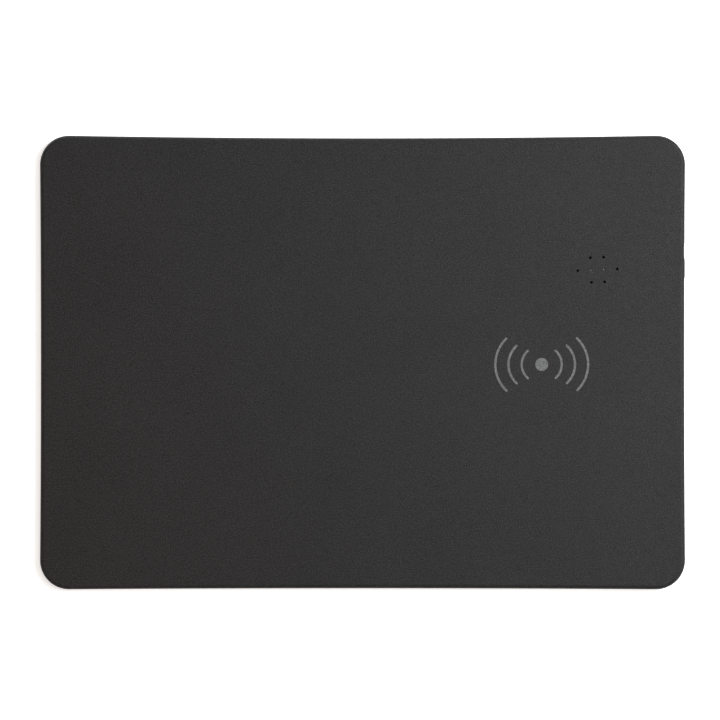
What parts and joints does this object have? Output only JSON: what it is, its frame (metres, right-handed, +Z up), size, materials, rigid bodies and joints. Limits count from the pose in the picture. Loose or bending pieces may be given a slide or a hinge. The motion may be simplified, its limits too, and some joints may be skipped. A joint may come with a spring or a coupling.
{
  "type": "wireless charging desk pad",
  "caption": "Thin leather-wrapped rectangular desk pad with a wireless phone charging spot, indicator holes beside it and a power socket in its right-hand edge.",
  "frame": {"origin": "middle of the pad's underside, on the desk", "axes": "+Z up out of the working face, +X along the long side towards the socket, +Y away from the user"},
  "size_m": [0.3, 0.211, 0.006],
  "materials": {
    "leather": "fine-grained charcoal coated leather, matt",
    "grey_ink": "matt grey printed ink",
    "fibreboard": "raw fibreboard",
    "base_rubber": "textured anti-slip rubber",
    "black_plastic": "fine spark-eroded texture",
    "module_plastic": "moulded, matt",
    "black_gauze": "woven black gauze",
    "adhesive_film": "thin translucent film",
    "ferrite": "fired, slightly sparkling",
    "enamelled_copper": "enamelled stranded copper",
    "sleeve_glass_cloth": "braided sleeving",
    "sensor_epoxy": "dipped epoxy",
    "solder_mask": "green solder mask",
    "chip_epoxy": "moulded epoxy",
    "thermal_silicone": "soft silicone",
    "capacitor_ceramic": "bare ceramic with tinned ends",
    "resistor_ceramic": "glazed ceramic with tinned ends",
    "inductor_ferrite": "pressed ferrite",
    "lamp_resin": "milky resin",
    "clear_plastic": "clear moulded plastic",
    "socket_steel": "nickel-plated steel",
    "socket_plastic": "moulded, matt",
    "contact_metal": "gold-flashed contacts"
  },
  "bodies": {
    "root": {"leather_cover": "leather", "charge_mark": "grey_ink", "core_board": "fibreboard", "base_sheet": "base_rubber", "port_bezel": "black_plastic", "module_tray": "module_plastic", "module_cover": "module_plastic", "dust_gauze": "black_gauze", "ferrite_adhesive": "adhesive_film", "ferrite_plate": "ferrite", "coil_adhesive": "adhesive_film", "charging_coil": "enamelled_copper", "lead_sleeves": "sleeve_glass_cloth", "temperature_sensor": "sensor_epoxy", "circuit_board": "solder_mask", "controller_chip": "chip_epoxy", "power_chip": "chip_epoxy", "thermal_pad": "thermal_silicone", "resonance_capacitors": "capacitor_ceramic", "input_capacitors": "capacitor_ceramic", "shunt_resistor": "resistor_ceramic", "power_inductor": "inductor_ferrite", "chip_resistors": "resistor_ceramic", "chip_capacitors": "capacitor_ceramic", "status_leds": "lamp_resin", "light_pipes": "clear_plastic", "socket_shell": "socket_steel", "socket_insulator": "socket_plastic", "socket_contacts": "contact_metal"}
  },
  "joints": []
}
